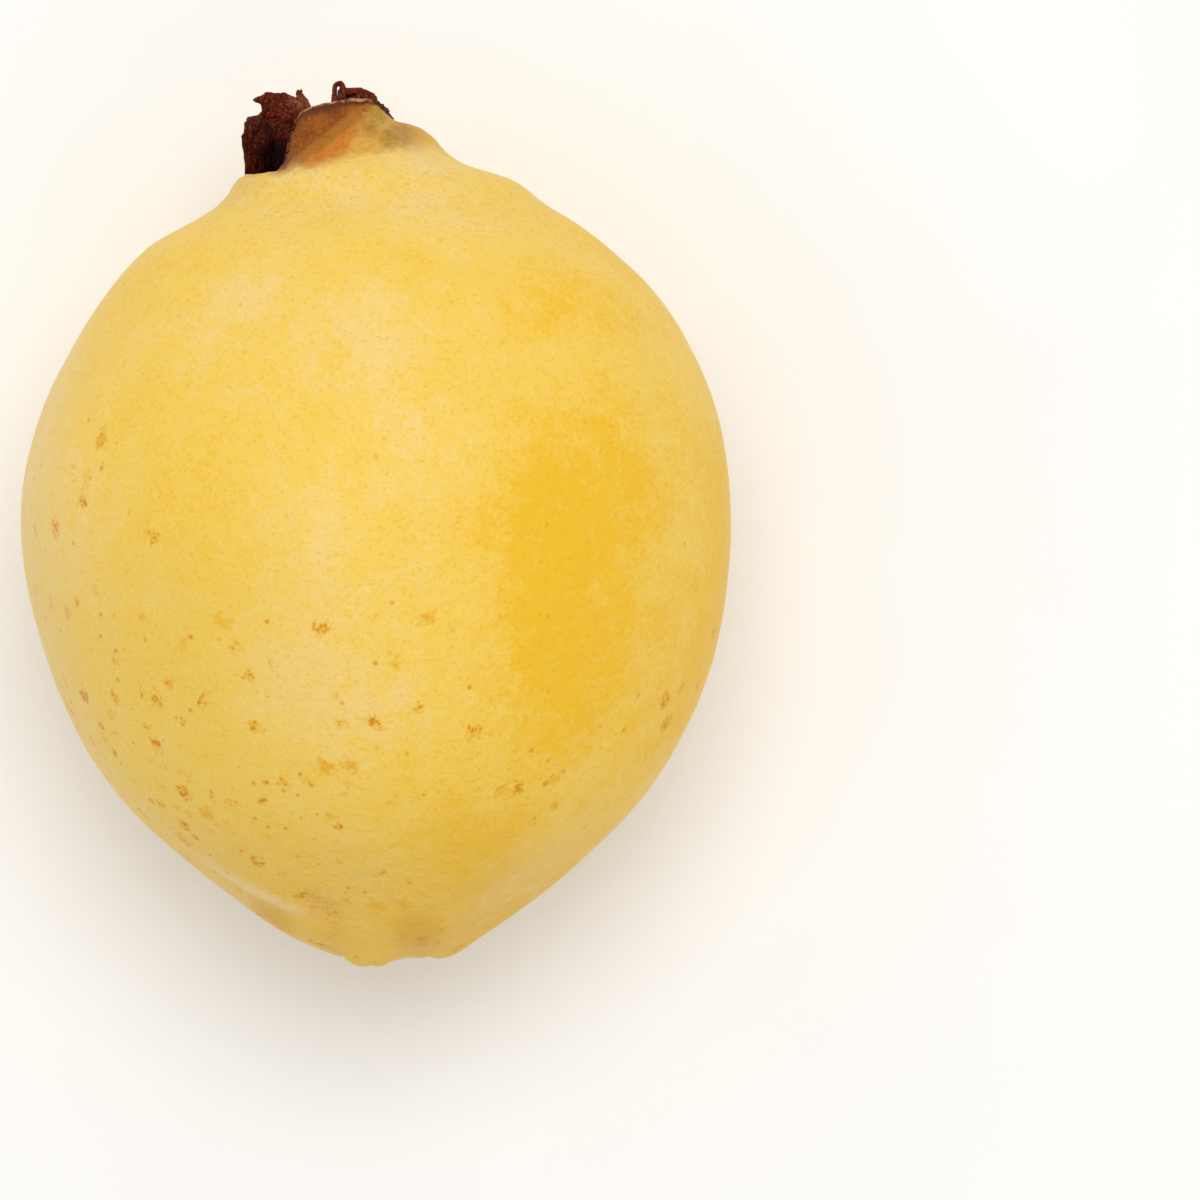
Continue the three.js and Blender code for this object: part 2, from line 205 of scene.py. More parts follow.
def from_line(x, y, line):
    """Distance in the XY plane from a line of points (above 0 on its left), and the share along it."""
    ends = np.asarray(line, float)
    best = np.full(np.shape(x), 1e9)
    side, share = np.zeros(np.shape(x)), np.zeros(np.shape(x))
    for k, (a, b) in enumerate(zip(ends, ends[1:])):
        run = b - a
        t = ((x - a[0]) * run[0] + (y - a[1]) * run[1]) / (run @ run)
        held = np.clip(t, 0, 1)
        away = np.hypot(x - a[0] - held * run[0], y - a[1] - held * run[1])
        near = away < best
        left = run[0] * (y - a[1]) - run[1] * (x - a[0])
        best = np.where(near, away, best)
        side = np.where(near, np.sign(left), side)
        share = np.where(near, (k + held) / (len(ends) - 1), share)
    return best * side, share


def laid_on(points, line):
    """A line of (x, y) laid on the top of the skin's points, as evenly spaced 3-D points."""
    line = np.asarray(line, float)
    steps = np.linspace(0, len(line) - 1, 60)
    x, y = (np.interp(steps, np.arange(len(line)), line[:, k]) for k in (0, 1))
    z = np.zeros(len(steps))
    for k in range(len(steps)):
        near = np.hypot(points[:, 0] - x[k], points[:, 1] - y[k]) < 0.7
        z[k] = points[near, 2].mean() if near.any() else z[k - 1]
    return np.stack([x, y, z], axis=-1)


def from_path(points, path):
    """Each point's distance from a path, and the share of the way along it of its nearest place."""
    gap = np.full(len(points), 99.0)
    share = np.zeros(len(points))
    near = np.flatnonzero(np.linalg.norm(points - path.mean(axis=0), axis=1) < 20)
    away = np.linalg.norm(points[near, None, :] - path[None, :, :], axis=-1)
    gap[near], share[near] = away.min(axis=1), away.argmin(axis=1) / (len(path) - 1)
    return gap, share


def wander(points, size, octaves=3, seed=0.0):
    """Smooth noise from -1 to 1 at each point, with features of about that size in mm."""
    flat = np.asarray(points, float).reshape(-1, 3) / size + seed
    made = [noise.fractal(Vector(p), 0.9, 2.1, octaves) for p in flat]
    return np.reshape(made, np.shape(points)[:-1])


def grid_faces(rows, columns, wrap=False, start=0, flip=False):
    """Quads of a grid of points stored row by row."""
    made = []
    for r in range(rows - 1):
        for c in range(columns if wrap else columns - 1):
            d = (c + 1) % columns
            quad = [r * columns + c, r * columns + d, (r + 1) * columns + d, (r + 1) * columns + c]
            made.append([start + k for k in (reversed(quad) if flip else quad)])
    return made


def make_piece(name, points, faces):
    """An object from points in millimetres."""
    mesh = bpy.data.meshes.new(name)
    mesh.from_pydata((np.asarray(points, float) * MM).tolist(), [], faces)
    mesh.validate()
    made = bpy.data.objects.new(name, mesh)
    bpy.context.scene.collection.objects.link(made)
    return made


def grid_normals(points):
    across = np.gradient(points, axis=1)
    up = np.gradient(points, axis=0)
    normals = np.cross(across, up)
    return normals / np.maximum(np.linalg.norm(normals, axis=-1, keepdims=True), 1e-9)


def thick_sheet(points, thickness):
    """A closed blade round a grid of points; thickness is a grid too."""
    rows, columns = points.shape[:2]
    half = grid_normals(points) * thickness[..., None] / 2
    front, back = (points + half).reshape(-1, 3), (points - half).reshape(-1, 3)
    count = rows * columns
    faces = grid_faces(rows, columns) + grid_faces(rows, columns, start=count, flip=True)
    bottom = list(range(columns))
    right = [r * columns + columns - 1 for r in range(rows)]
    top = [(rows - 1) * columns + c for c in reversed(range(columns))]
    left = [r * columns for r in reversed(range(rows))]
    loop = bottom[:-1] + right[:-1] + top[:-1] + left[:-1]
    for a, b in zip(loop, loop[1:] + loop[:1]):
        faces.append([b, a, a + count, b + count])
    return np.concatenate([front, back]), faces


def blade(rows, seed):
    """One crinkled dry blade round the calyx's axis, ragged at its sides and top."""
    across, up = np.meshgrid(np.linspace(0, 1, BLADE_COLUMNS), np.linspace(0, 1, BLADE_ROWS))
    along, first, last, first_radius, last_radius = np.moveaxis(row_at(rows, up), -1, 0)
    height = along - rows[0][0]
    free = smooth(height, 1.0, 3.5)
    side = np.stack([height, np.full_like(height, seed), across.round()], axis=-1)
    fray = wander(side, 0.9, 3) * 1.8 * free
    first, last = first + fray, last + fray
    angle = first + (last - first) * across
    radius = first_radius + (last_radius - first_radius) * across
    plain = around_calyx(radius, angle, along)
    top_edge = np.stack([angle / 14, np.full_like(angle, seed), np.zeros_like(angle)], axis=-1)
    along = along + smooth(up, 0.75, 1) * wander(top_edge, 1.0, 3) * 0.32
    # crinkles, and long folds that run up the blade
    crinkle = wander(plain, 1.7, 4, seed) * 0.3 + wander(plain * (1, 0.35, 1), 0.6, 3, seed + 5) * 0.17
    crinkle = crinkle + wander(plain * (1, 0.4, 1), 2.6, 2, seed + 9) * np.sin(across * math.pi) * 0.9
    rim_curl = (2 * across - 1) ** 4 * 0.2 * smooth(up, 0.4, 0.9)
    points = around_calyx(radius + crinkle * free + rim_curl, angle, along)
    # thin at its edges
    from_edge = np.minimum(np.minimum(across, 1 - across) * 9, (1 - up) * 9)
    thickness = BLADE_THICKNESS * (0.3 + 0.7 * smooth(from_edge, 0, 1)) * (1 - 0.45 * smooth(up, 0.3, 1))
    return thick_sheet(points, thickness)


def curl(path, widths, flat_side, seed):
    """A narrow dry strip along a path of points in mm; its width lies along flat_side."""
    steps = np.linspace(0, 1, CURL_ROWS)
    centre = row_at(path, steps)
    width = np.interp(steps, np.linspace(0, 1, len(widths)), widths)
    run = np.gradient(centre, axis=0)
    run /= np.linalg.norm(run, axis=-1, keepdims=True)
    flat_side = np.asarray(flat_side, float)
    side = flat_side - run * (run @ flat_side)[:, None]
    side /= np.linalg.norm(side, axis=-1, keepdims=True)
    across = np.linspace(-0.5, 0.5, CURL_COLUMNS)
    points = centre[:, None, :] + side[:, None, :] * (across[None, :] * width[:, None])[..., None]
    points = points + wander(points, 0.6, 3, seed)[..., None] * 0.09
    thin_edges = 1 - 0.6 * np.abs(across * 2) ** 3
    thickness = np.full(points.shape[:2], CURL_THICKNESS) * thin_edges[None, :]
    return thick_sheet(points, thickness)


def papery_margin(rim):
    """The thin dry border that stands on the top flap's rim and down its torn side."""
    inside = np.gradient(rim, axis=0)
    inside /= np.linalg.norm(inside, axis=-1, keepdims=True)
    outward = rim - (CALYX_X, 0, CALYX_Z)
    outward[:, 1] = 0
    outward /= np.linalg.norm(outward, axis=-1, keepdims=True)
    upward = np.cross(inside, outward)
    dark_end = smooth(rim[:, 0], -0.7, 0.3)  # it is broader and darker towards the fruit's middle
    rise = np.linspace(0, 1, MARGIN_COLUMNS)[None, :]
    foot = -0.1 - 0.75 * dark_end + wander(rim, 1.2, 3, 2.0) * (0.05 + 0.4 * dark_end)
    top = 0.08 + 0.16 * dark_end + wander(rim, 0.9, 3, 5.0) * (0.06 + 0.12 * dark_end)
    height = foot[:, None] + (top - foot)[:, None] * rise
    lift = 0.06 + 0.08 * rise**2 + wander(rim, 1.2, 3, 8.0)[:, None] * 0.05
    lift = lift + dark_end[:, None] * (0.22 + 0.2 * wander(rim, 0.8, 3, 11.0)[:, None])
    points = rim[:, None, :] + outward[:, None, :] * lift[..., None] + upward[:, None, :] * height[..., None]
    points = points + wander(points, 0.5, 3, 3.0)[..., None] * outward[:, None, :] * 0.07
    thickness = np.full(points.shape[:2], MARGIN_THICKNESS) + 0.05 * np.abs(rise - 0.5)
    return thick_sheet(points, thickness)


def lining():
    """The calyx cup's closed lining, ragged at its margin."""
    rows, columns = LINING_LENGTHS, LINING_COLUMNS
    angle, share = np.meshgrid(
        np.linspace(0, 360, columns, endpoint=False), np.linspace(0, 1, rows))
    radius, along, tilted, wall = np.moveaxis(row_at(LINING_ROWS, share), -1, 0)
    margin = smooth(wall, 0.75, 1)
    edge = np.stack([np.cos(np.radians(angle)), np.sin(np.radians(angle)), np.zeros_like(angle)], axis=-1)
    rag = wander(edge * 6, 0.55, 3) * 0.14 + wander(edge * 6, 1.9, 2, 3.0) * 0.14
    rag = (rag - 0.12) * (1 - torn(angle)) - 0.3 * torn(angle)
    along = along + tilted * tilt(angle) + wall * collar_wall(angle) + rag * margin
    plain = around_calyx(radius, angle, along)
    radius = radius + wander(plain, 1.1, 4, 9.0) * 0.12 * smooth(radius, 1, 3)
    last = (rows - 1) * columns
    ends = [list(range(columns)), list(range(last + columns - 1, last - 1, -1))]
    faces = grid_faces(rows, columns, wrap=True, flip=True) + ends
    return around_calyx(radius, angle, along).reshape(-1, 3), faces


def bristle(root, tip, sag, thickness, seed):
    """A dry stamen: a thin tapered tube with a knob at its tip. It sags by sag at its middle."""
    sides, rings = BRISTLE_SIDES, BRISTLE_RINGS
    steps = np.linspace(0, 1, rings)
    root, tip = np.asarray(root), np.asarray(tip)
    bow = steps * (1 - steps) * 4
    centre = root + (tip - root) * steps[:, None] + np.asarray(sag) * bow[:, None]
    centre = centre + wander(centre, 1.2, 2, seed)[:, None] * 0.12
    around = np.radians(np.arange(sides) * 360 / sides)
    ring = np.stack([np.cos(around), np.zeros(sides), np.sin(around)], axis=-1)
    size = thickness * (1 - 0.6 * steps)
    size[-1] = thickness * 0.9
    points = centre[:, None, :] + ring[None] * size[:, None, None]
    last = (rings - 1) * sides
    ends = [list(range(sides)), list(range(last + sides - 1, last - 1, -1))]
    return points.reshape(-1, 3), grid_faces(rings, sides, wrap=True, flip=True) + ends


def calyx_piece(rim):
    """All of the dry tissue on the flower end, in one mesh."""
    points, faces = [], []

    def add(part):
        start = sum(len(p) for p in points)
        points.append(part[0])
        faces.extend([[start + k for k in face] for face in part[1]])

    add(lining())
    for seed, rows in enumerate(BLADES.values()):
        add(blade(rows, 3.1 * seed + 1.7))
    add(papery_margin(rim))
    add(curl(CURL_PATH, CURL_WIDTHS, CURL_FLAT_SIDE, 4.0))
    rng = np.random.default_rng(STAMEN_SEED)
    for k in range(STAMENS):
        angle = rng.uniform(0, 360)
        root = around_calyx(rng.uniform(2.2, 3.9), angle, CUP_FLOOR)
        lean = rng.normal(0, 0.7, 3)
        outward = around_calyx(1, angle, 0) - around_calyx(0, angle, 0)
        inward = outward * rng.uniform(-1.4, 0.3)
        tip = root + (0, rng.uniform(0.9, 2.6), 0) + lean + inward
        add(bristle(root, tip, rng.normal(0, 0.15, 3), rng.uniform(0.05, 0.09), k))
    foot = around_calyx(0, 0, CUP_FLOOR + 0.1)
    add(bristle(foot, foot + STYLE_LEAN, (0.2, 0, -0.2), STYLE_THICKNESS, 77))
    return make_piece("calyx_dry", np.concatenate(points), faces)


def fine_copy(node, name, levels):
    """A subdivided copy of a CAD node, in quads."""
    mesh = bmesh.new()
    mesh.from_mesh(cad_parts[node].data)
    bmesh.ops.remove_doubles(mesh, verts=mesh.verts, dist=1e-7)
    bmesh.ops.join_triangles(
        mesh, faces=mesh.faces, angle_face_threshold=math.pi, angle_shape_threshold=math.pi)
    data = bpy.data.meshes.new(name)
    mesh.to_mesh(data)
    mesh.free()
    made = bpy.data.objects.new(name, data)
    bpy.context.scene.collection.objects.link(made)
    made.modifiers.new("fine", "SUBSURF").levels = levels
    evaluated = made.evaluated_get(bpy.context.evaluated_depsgraph_get())
    fine = bpy.data.meshes.new_from_object(evaluated)
    made.modifiers.clear()
    made.data = fine
    return made


def read_points(mesh, kind="co"):
    values = np.zeros(len(mesh.vertices) * 3)
    mesh.vertices.foreach_get(kind, values)
    return values.reshape(-1, 3)


def store(mesh, name, values):
    mesh.attributes.new(name, "FLOAT", "POINT").data.foreach_set("value", np.asarray(values, np.float32))


def at_flower(y):
    """1 on the flower end, from the neck on."""
    return smooth(y, 24, 27)


def outside_cup(radius):
    """1 outside the calyx cup's rim."""
    return smooth(radius, 5.6, 6.0)


def facing_up(z):
    """1 on the upper half."""
    return smooth(z, CALYX_Z - 4, CALYX_Z + 1)


def body_relief(points):
    """Slow swells, the narrow neck, and a dip on the shoulder beside it."""
    x, y, z = points.T
    push = wander(points, 7.0, 2) * 0.07 + wander(points * (1, 0.35, 1), 11.0, 2, 4.0) * 0.16
    push -= (0.1 + 0.26 * smooth(x, -8, 6)) * hump(y - NECK_Y, 2.0)
    from_shoulder = np.hypot(np.hypot(x - SHOULDER[0], y - SHOULDER[1]), (z - SHOULDER[2]) * 0.5)
    return push - 0.42 * hump(from_shoulder, 1.5)


def neck_relief(points):
    """Small folds that run round the neck, and creases that run up the collar."""
    radius, angle = calyx_polar(points)
    neck = at_flower(points[:, 1]) * smooth(radius, 11.5, 9) * outside_cup(radius)
    folds = wander(points * (1, 3.2, 1), 2.4, 3, 2.0)
    creases = np.sin(np.radians(angle) * 13 + wander(points, 3.0, 2, 6.0) * 3)
    return neck * (folds * 0.16 + smooth(radius, 9.5, 7) * creases * 0.05)


def top_flap(points):
    """The top flap's mask, the distance above its ridge, and its relief, sunken above the ridge."""
    x, y, z = points.T
    radius, _ = calyx_polar(points)
    above_foot, _ = from_line(x, y, FLAP_FOOT)
    flap = smooth(above_foot, -1.1, 1.5) * facing_up(z) * at_flower(y)
    flap = flap * smooth(x, 4.8, 2.2) * smooth(radius, 5.2, 5.6)
    above_ridge, share = from_line(x, y, FLAP_RIDGE)
    on_ridge = hump(above_ridge, 0.42) * smooth(share, 1.0, 0.8)
    hollow = hump(above_ridge - 1.3, 0.8)
    push = flap * outside_cup(radius) * (0.26 * on_ridge - 0.3 * hollow)
    return flap, above_ridge, push


def stem_relief(points):
    """Pleats that run to the pit, the stem end's lips, and a raised edge round the stalk's scar."""
    x, y, z = points.T
    from_pit = np.hypot(x - PIT[0], z - PIT[2])
    pit_angle = np.arctan2(z - PIT[2], x - PIT[0])
    pleats = np.sin(pit_angle * 11 + wander(points, 4.0, 2, 8.0) * 2.5)
    push = smooth(from_pit, 2.2, 3.4) * smooth(from_pit, 9, 5) * pleats * 0.06
    for lip_x, lip_z, reach, height in STEM_LIPS:
        push += height * hump(x - lip_x, reach) * hump(z - lip_z, 1.5)
    push += 0.1 * hump(from_pit - SCAR_RADIUS, 0.25)
    return push * smooth(y, -27, -33)


def stem_lines(points):
    """Masks for the crease and the pale ridge at the stem end, and the relief of both."""
    top = points[points[:, 2] > CALYX_Z]
    from_crease, share = from_path(points, laid_on(top, STEM_CREASE))
    fade = smooth(share, 1.0, 0.5)
    crease = hump(from_crease, 1.0) * (0.4 + 0.6 * fade)
    from_pale, share = from_path(points, laid_on(top, STEM_RIDGE))
    pale_fade = np.sin(np.clip(share, 0.02, 0.98) * math.pi) ** 0.6
    pale = pale_fade * hump(from_pale, 0.85)
    push = 0.13 * pale_fade * hump(from_pale, 0.7) - 0.36 * fade * hump(from_crease, 1.1)
    return crease, pale, push


def golden_share(plain, points):
    """How golden the skin is, 0 for pale, from its points before and after the relief."""
    x, y, z = plain.T
    golden = 0.42 + wander(points, 15.0, 3, 5.0) * 0.42 + smooth(x, 2, 26) * 0.24
    golden += smooth(y, -26, -36) * 0.25 - smooth(x, -20, -29) * 0.25
    golden += smooth(x, 8, 20) * smooth(y, 16, 2) * 0.16
    uneven = 1 + 0.55 * wander(points, 8.0, 3, 12.0)
    for patch_x, patch_y, across, along, amount in PATCHES:
        off = np.hypot((x - patch_x) / across, (y - patch_y) / along) * uneven
        golden += amount * hump(off, 1) * facing_up(z)
    return golden


def scar_crowd(plain, points):
    """How closely the scars stand: they crowd towards the stem end and -X."""
    x, y, _ = plain.T
    crowd = np.maximum(smooth(y, 0, -15), 0.6 * smooth(x, -13, -22) * smooth(y, 11, 3))
    crowd *= 0.2 + 0.8 * smooth(x, 14, -10)
    return crowd * np.clip(0.85 + wander(points, 5.0, 2, 3.0) * 1.3, 0.05, 1.15)


def skin_piece():
    """A fine copy of the fruit with low relief, and the numbers that its material reads."""
    made = fine_copy("fruit", "skin", SKIN_LEVELS)
    mesh = made.data
    plain, normals = read_points(mesh) / MM, read_points(mesh, "normal")
    flap, above_ridge, flap_push = top_flap(plain)
    crease, pale_ridge, line_push = stem_lines(plain)
    push = body_relief(plain) + neck_relief(plain) + flap_push + stem_relief(plain) + line_push
    push *= smooth(plain[:, 2], 0.05, 1.2)  # the spot that it rests on stays flat
    points = plain + normals * push[:, None]
    # a ragged fleshy rim
    radius, angle = calyx_polar(plain)
    flower = at_flower(plain[:, 1])
    near_rim = flower * smooth(radius, 6.7, 6.1) * smooth(radius, 5.2, 5.5)
    points[:, 1] += near_rim * wander(points * (1, 0.2, 1), 0.8, 3, 1.0) * 0.1
    points[:, 2] = np.maximum(points[:, 2], 0)
    mesh.vertices.foreach_set("co", (points * MM).ravel())
    mesh.update()
    store(mesh, "golden", golden_share(plain, points))
    store(mesh, "crowd", scar_crowd(plain, points))
    store(mesh, "below_rim", np.where(flower > 0, rim_y(angle) - points[:, 1], 20))
    store(mesh, "flap", flap)
    store(mesh, "above_ridge", np.clip(above_ridge, -9, 9))
    store(mesh, "pale_ridge", pale_ridge)
    store(mesh, "crease", crease)
    return made


def flap_rim(skin):
    """Points along the top flap's rim, from its right end round to the foot of its torn side."""
    points = read_points(skin.data) / MM
    radius, angle = calyx_polar(points)
    shell = (points[:, 1] > 27) & (radius > 5.4) & (radius < 6.6)
    middles = np.arange(-4, 119, 1.0)
    path = []
    for middle in middles:
        near = points[shell & (np.abs(angle - middle) < 1.6)]
        path.append(near[near[:, 1].argmax()])
    path = np.array(path)
    for _ in range(3):
        path[1:-1] = (path[:-2] + 2 * path[1:-1] + path[2:]) / 4
    # even steps along it
    steps = np.concatenate([[0], np.cumsum(np.linalg.norm(np.diff(path, axis=0), axis=1))])
    even = np.linspace(0, steps[-1], MARGIN_ROWS)
    return np.stack([np.interp(even, steps, path[:, k]) for k in range(3)], axis=-1)


# ---- Materials ----
def colour(red, green, blue):
    """A linear colour from screen values, 0 to 255."""
    screen = np.array([red, green, blue]) / 255
    linear = np.where(screen <= 0.04045, screen / 12.92, ((screen + 0.055) / 1.055) ** 2.4)
    return (*linear.tolist(), 1.0)


class Shader:
    """A material's nodes. Each call adds nodes and returns an output socket."""

    def __init__(self, name):
        self.material = bpy.data.materials.new(name)
        self.material.use_nodes = True
        self.nodes = self.material.node_tree.nodes
        self.links = self.material.node_tree.links
        self.nodes.clear()
        place = self.nodes.new("ShaderNodeTexCoord").outputs["Object"]
        self.place = self.vector("SCALE", place, scale=1 / MM)  # in millimetres
        axes = self.node("ShaderNodeSeparateXYZ", {0: self.place}).outputs
        self.x, self.y, self.z = axes[0], axes[1], axes[2]

    def feed(self, socket, value):
        if isinstance(value, bpy.types.NodeSocket):
            self.links.new(value, socket)
        elif value is not None:
            socket.default_value = value

    def node(self, kind, inputs, **settings):
        made = self.nodes.new(kind)
        for key, value in settings.items():
            setattr(made, key, value)
        for key, value in inputs.items():
            self.feed(made.inputs[key], value)
        return made

    def math(self, operation, a, b=None):
        return self.node("ShaderNodeMath", {0: a, 1: b}, operation=operation).outputs[0]

    def product(self, first, *others):
        for other in others:
            first = self.math("MULTIPLY", first, other)
        return first

    def vector(self, operation, a, b=None, scale=None):
        made = self.node("ShaderNodeVectorMath", {0: a, 1: b}, operation=operation)
        if scale is not None:
            self.feed(made.inputs["Scale"], scale)
        return made.outputs["Value" if operation in ("LENGTH", "DISTANCE") else "Vector"]

    def ramp(self, value, low, high, to_low=0.0, to_high=1.0):
        """value eased from to_low at low to to_high at high. low may be above high."""
        made = self.node(
            "ShaderNodeMapRange",
            {"Value": value, "From Min": low, "From Max": high, "To Min": to_low, "To Max": to_high},
            interpolation_type="SMOOTHSTEP")
        return made.outputs[0]

    def noise(self, scale, detail=3.0, roughness=0.5, vector=None):
        made = self.node(
            "ShaderNodeTexNoise",
            {"Vector": vector or self.place, "Scale": scale, "Detail": detail,
             "Roughness": roughness})
        return made.outputs["Fac"]

    def cells(self, scale, vector=None):
        """Distance from the nearest of scattered points, in cell widths, and its three random shares."""
        made = self.node(
            "ShaderNodeTexVoronoi",
            {"Vector": vector or self.place, "Scale": scale, "Randomness": 1.0})
        shares = self.node("ShaderNodeSeparateColor", {0: made.outputs["Color"]}).outputs
        return made.outputs["Distance"], shares

    def mix(self, share, a, b):
        made = self.nodes.new("ShaderNodeMix")
        made.data_type = "RGBA"
        for socket, value in ((made.inputs[0], share), (made.inputs[6], a), (made.inputs[7], b)):
            self.feed(socket, value)
        return made.outputs[2]

    def near(self, point, inner, outer):
        """1 within inner mm of a point, falling to 0 at outer mm."""
        return self.ramp(self.vector("DISTANCE", self.place, point), outer, inner)

    def above(self, point, outer, inner, most=1.0):
        """0 beyond outer mm from a point of the XY plane, rising to most within inner mm."""
        flat = self.node("ShaderNodeCombineXYZ", {0: self.x, 1: self.y}).outputs[0]
        return self.ramp(self.vector("DISTANCE", flat, (*point, 0)), outer, inner, 0, most)

    def vary(self, start, *parts):
        """start, plus each (value, share) part counted from the value's middle, 0.5."""
        for value, share in parts:
            start = self.math("ADD", start, self.product(self.math("SUBTRACT", value, 0.5), share))
        return start

    def stored(self, name):
        """A number that the mesh holds at each vertex."""
        return self.node("ShaderNodeAttribute", {}, attribute_name=name).outputs["Fac"]

    def bump(self, height):
        """A normal from a height in millimetres."""
        return self.node("ShaderNodeBump", {"Height": height, "Distance": MM, "Strength": 1.0}).outputs[0]

    def finish(self, inputs):
        shader = self.node("ShaderNodeBsdfPrincipled", inputs)
        output = self.nodes.new("ShaderNodeOutputMaterial")
        self.links.new(shader.outputs[0], output.inputs["Surface"])
        return self.material


class SkinShader(Shader):
    """The skin's colours, laid over one another from the ground up."""

    def __init__(self):
        super().__init__("guava_skin")
        self.mottling = self.noise(0.4, 5.0, 0.86)
        self.blotch = self.noise(1.2, 4.0, 0.7)
        self.grain = self.noise(2.8, 2.0, 0.65)
        self.gap = self.stored("below_rim")
        self.on_top = self.ramp(self.z, 27, 31)
        # 0 on the top of the wall where it is torn down, 1 elsewhere
        torn_down = self.product(self.ramp(self.z, 26.5, 28.5), self.ramp(self.x, -6.2, -8.2))
        self.standing = self.math("SUBTRACT", 1.0, torn_down)

    def ground(self):
        """From pale to golden, duller to the stem end, in patches and mottling, with pores."""
        gold = self.vary(self.stored("golden"), (self.mottling, 1.6), (self.grain, 0.8))
        tone = self.mix(self.ramp(gold, -0.05, 0.5), colour(243, 208, 124), colour(243, 203, 86))
        tone = self.mix(self.ramp(gold, 0.45, 1.1), tone, colour(241, 190, 36))
        olive = self.product(self.ramp(self.x, 4, -14), self.ramp(self.y, 8, -10), 0.4)
        tone = self.mix(olive, tone, colour(230, 194, 88))
        tone = self.mix(self.ramp(self.y, -18, -36, 0, 0.5), tone, colour(222, 174, 62))
        pore_share = self.ramp(self.y, 22, 27, 0.45, 0.65)
        pores = self.ramp(self.grain, 0.56, 0.76, 0, pore_share)
        return self.mix(pores, tone, colour(228, 162, 34))

    def scars(self, tone):
        """Ragged orange-brown specks in golden haloes, and single dots. Returns the specks too."""
        crowd = self.stored("crowd")
        # each speck has its own size, strength and chance of being there
        middle, (size, strength, chance) = self.cells(0.5)
        kept = self.ramp(self.math("ADD", chance, self.product(crowd, 0.7)), 0.98, 1.08)
        away = self.product(middle, self.ramp(size, 0.0, 1.0, 1.8, 3.8))
        away = self.vary(away, (self.grain, -1.6), (self.blotch, -2.0))
        halo = self.product(self.ramp(away, 1.25, 0.1), kept, 0.85)
        tone = self.mix(halo, tone, colour(232, 170, 10))
        ragged = self.ramp(self.vary(self.grain, (strength, 0.14)), 0.49, 0.59)
        scar = self.product(self.ramp(away, 0.7, 0.35), ragged, kept)
        scar = self.product(scar, self.ramp(strength, 0.15, 0.6, 0.1, 0.8))
        tone = self.mix(scar, tone, colour(208, 128, 0))
        middle, (chance, _, _) = self.cells(0.8, self.vector("ADD", self.place, (3.1, 7.7, 1.3)))
        kept = self.ramp(self.math("ADD", chance, self.product(crowd, 0.35)), 0.92, 1.08)
        dot = self.product(self.ramp(middle, 0.24, 0.1), kept, 0.7)
        return self.mix(dot, tone, colour(212, 132, 0)), scar

    def sheen_and_streaks(self, tone):
        """A painted pale sheen on the -X side, and soft pale streaks beside the stem end."""
        # painted sheen: a whitish cast along the -X side
        painted_sheen = self.product(self.ramp(self.x, -21, -29), self.ramp(self.blotch, 0.3, 0.7), 0.5)
        tone = self.mix(painted_sheen, tone, colour(238, 212, 160))
        turned = self.node(
            "ShaderNodeVectorRotate", {"Vector": self.place, "Angle": -0.42},
            rotation_type="Z_AXIS").outputs[0]
        lines = self.noise(1.5, 3.0, 0.7, self.vector("MULTIPLY", turned, (0.2, 1.0, 0.4)))
        within = self.near((12.0, -31.0, 34.0), 1.5, 7.0)
        streak = self.product(within, self.ramp(lines, 0.48, 0.66), 0.5)
        return self.mix(streak, tone, colour(240, 206, 146))

    def collar(self, tone):
        """The collar is dull, and browner towards its rim."""
        towards_rim = self.vary(self.ramp(self.gap, 5.5, 0.5, 0, 0.7), (self.blotch, 0.6))
        most = self.math("ADD", 0.2, self.product(self.standing, 0.5))
        dull = self.mix(
            self.ramp(self.blotch, 0.35, 0.65), colour(206, 150, 54), colour(228, 180, 84))
        return self.mix(self.product(self.ramp(towards_rim, 0.1, 0.6), most), tone, dull)

    def flap(self, tone):
        """The top flap's own colours. Returns its mask too."""
        x, y, z, blotch, grain = self.x, self.y, self.z, self.blotch, self.grain
        flap = self.ramp(self.vary(self.stored("flap"), (blotch, 0.6), (grain, 0.3)), 0.1, 0.85)
        ridge = self.vary(self.stored("above_ridge"), (blotch, 0.5))
        flesh = self.mix(
            self.ramp(self.mottling, 0.35, 0.65), colour(212, 152, 54), colour(234, 186, 88))
        # olive to the right
        olive = self.math(
            "MAXIMUM", self.above((-0.6, 33.6), 2.6, 0.8), self.above((1.9, 31.9), 2.4, 0.6))
        olive = self.product(olive, self.ramp(blotch, 0.3, 0.6, 0.5, 0.85))
        olive_tone = self.mix(
            self.ramp(grain, 0.3, 0.7), colour(146, 104, 26), colour(176, 132, 44))
        flesh = self.mix(olive, flesh, olive_tone)
        # an orange band below the ridge, a tan line on it
        left = self.ramp(self.math("SUBTRACT", x, self.product(y, 0.3)), -9.8, -12.0)
        band = self.mix(
            self.ramp(self.vary(self.mottling, (grain, 0.4)), 0.3, 0.7),
            colour(190, 102, 20), colour(212, 138, 44))
        flesh = self.mix(self.product(self.ramp(ridge, -2.9, -0.7), left), flesh, band)
        on_ridge = self.mix(left, flesh, colour(170, 106, 26))
        flesh = self.mix(self.ramp(ridge, -0.65, -0.25), flesh, on_ridge)
